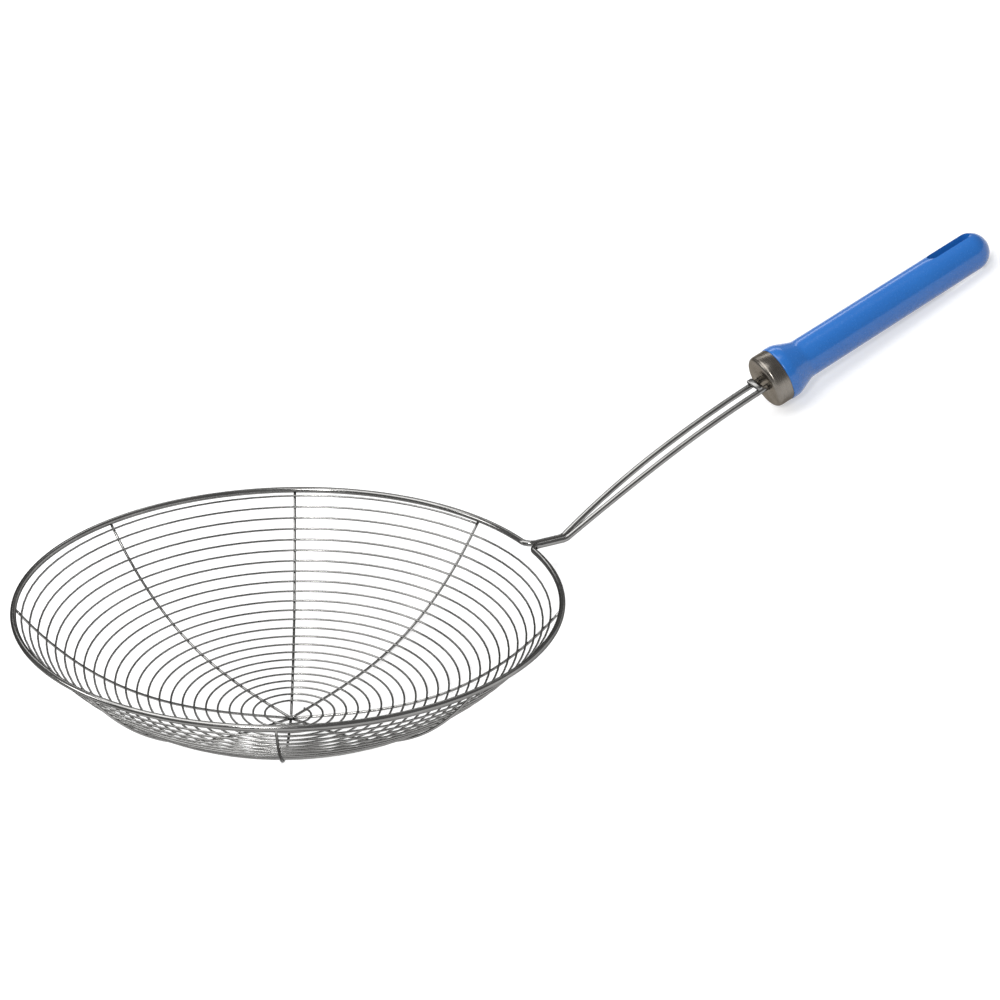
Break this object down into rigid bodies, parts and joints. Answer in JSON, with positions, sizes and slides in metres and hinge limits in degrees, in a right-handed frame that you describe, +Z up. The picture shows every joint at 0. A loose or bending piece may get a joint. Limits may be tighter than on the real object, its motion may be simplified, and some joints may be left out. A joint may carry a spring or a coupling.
{
  "type": "spider skimmer",
  "caption": "Wide shallow skimmer with a spiral wire bowl on radial ribs, a thick wire rim that runs on as twin shanks, and a tapered plastic handle with a hanging slot.",
  "frame": {"origin": "on the table under the centre of the overall box, with the skimmer lying as it rests: on the bowl's underside and the handle's end", "axes": "+X from the bowl to the handle's end, +Z up out of the bowl's mouth, which is tilted about 24 degrees towards the handle"},
  "size_m": [0.4733, 0.24, 0.1151],
  "materials": {
    "steel_wire": "bright drawn wire",
    "ferrule_steel": "satin",
    "blue_plastic": "glossy"
  },
  "bodies": {
    "root": {"frame_wire": "steel_wire", "coil_wire": "steel_wire", "rib_1": "steel_wire", "rib_2": "steel_wire", "rib_3": "steel_wire", "rib_4": "steel_wire", "rib_5": "steel_wire", "rib_6": "steel_wire", "rib_7": "steel_wire", "rib_8": "steel_wire", "shank_bridge": "steel_wire", "ferrule": "ferrule_steel", "handle": "blue_plastic"}
  },
  "joints": []
}
